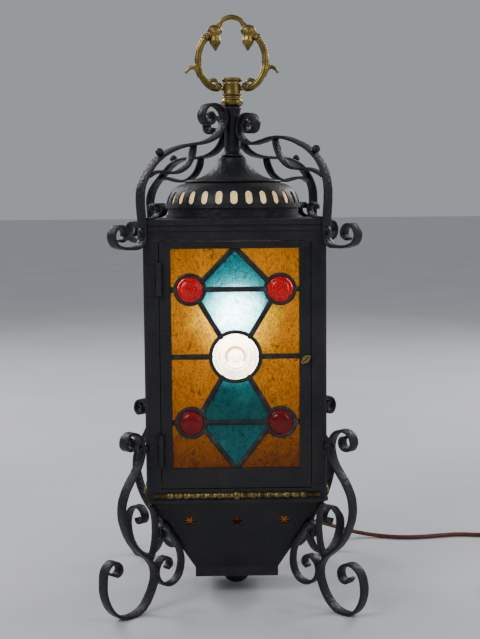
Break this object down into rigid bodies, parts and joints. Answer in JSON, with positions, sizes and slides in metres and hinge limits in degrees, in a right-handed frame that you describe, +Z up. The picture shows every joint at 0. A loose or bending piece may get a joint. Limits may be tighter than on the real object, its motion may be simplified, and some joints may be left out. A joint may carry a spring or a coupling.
{
  "type": "stained-glass table lantern",
  "caption": "Square wrought-iron table lantern with a leaded-glass door, slotted round roof, strap crown, swinging brass ring, scrolled legs and a mains lamp on a switched cord.",
  "frame": {"origin": "on the lantern's vertical axis, at the floor its feet stand on", "axes": "+Z up; the door faces -Y; +X is to the right of someone who looks at the door"},
  "size_m": [0.5228, 0.3168, 0.61],
  "materials": {
    "wrought_iron": "hammered, waxed black, worn brown on its edges",
    "aged_brass": "aged, rubbed bright on high spots",
    "lead": "dull dark patina",
    "amber_glass": "streaky and seedy",
    "teal_glass": "streaky",
    "ruby_glass": "moulded, glossy",
    "clear_glass": "spun, glossy",
    "zinced_steel": "zinc plated",
    "nickelled_cap": "nickel plated",
    "bulb_glass": "frosted inside",
    "bakelite": "moulded, satin",
    "cord_sheath": "smooth flexible sheath"
  },
  "bodies": {
    "lantern": {"corner_posts": "wrought_iron", "top_frame": "wrought_iron", "bottom_frame": "wrought_iron", "top_plate": "wrought_iron", "left_frame": "wrought_iron", "back_frame": "wrought_iron", "right_frame": "wrought_iron", "post_hinges": "wrought_iron", "hinge_pins": "wrought_iron", "latch_keeper": "wrought_iron", "drum_ring": "wrought_iron", "slotted_dome": "wrought_iron", "roof_cap": "wrought_iron", "stem": "wrought_iron", "crown_rib_front_left": "wrought_iron", "crown_rib_front_right": "wrought_iron", "crown_rib_back_right": "wrought_iron", "crown_rib_back_left": "wrought_iron", "crown_branches": "wrought_iron", "rib_balls": "wrought_iron", "crown_leaves": "wrought_iron", "base_tray": "wrought_iron", "base_plate": "wrought_iron", "bottom_knob": "wrought_iron", "leg_front_left": "wrought_iron", "leg_front_right": "wrought_iron", "leg_back_right": "wrought_iron", "leg_back_left": "wrought_iron", "leg_c_scrolls": "wrought_iron", "leg_stays": "wrought_iron", "strap_rivets": "wrought_iron", "bead_bands": "aged_brass", "neck_collar": "aged_brass", "handle_head": "aged_brass", "fixed_cames": "lead", "fixed_glass_amber": "amber_glass", "fixed_glass_teal": "teal_glass", "fixed_jewels": "ruby_glass", "fixed_roundel": "clear_glass", "lamp_tube": "zinced_steel", "lamp_holder": "bakelite", "bulb_cap": "nickelled_cap", "bulb_glass": "bulb_glass", "cord_gland": "bakelite", "inner_flex": "cord_sheath", "cord": "cord_sheath", "cord_coil": "cord_sheath", "switch_case": "bakelite", "plug": "bakelite"},
    "door": {"door_frame": "wrought_iron", "door_cames": "lead", "door_glass_amber": "amber_glass", "door_glass_teal": "teal_glass", "door_jewels": "ruby_glass", "door_roundel": "clear_glass", "door_hinges": "wrought_iron"},
    "latch": {"latch_knob": "aged_brass", "latch_tongue": "aged_brass"},
    "handle": {"handle_ring": "aged_brass"},
    "rocker": {"switch_rocker": "bakelite"}
  },
  "joints": [
    {"name": "handle_swing", "type": "hinge", "parent": "lantern", "child": "handle", "pos_m": [0, 0, 0.533], "axis": [1, 0, 0], "range_deg": [-90, 90]},
    {"name": "door_swing", "type": "hinge", "parent": "lantern", "child": "door", "pos_m": [-0.0756, -0.0942, 0.25], "axis": [0, 0, -1], "range_deg": [0, 100]},
    {"name": "latch_turn", "type": "hinge", "parent": "door", "child": "latch", "pos_m": [0.07, -0.09, 0.257], "axis": [0, 1, 0], "range_deg": [0, 90]},
    {"name": "rocker_tip", "type": "hinge", "parent": "lantern", "child": "rocker", "pos_m": [0.373, 0.042, 0.013], "axis": [-1, 0, 0], "range_deg": [0, 16]}
  ]
}
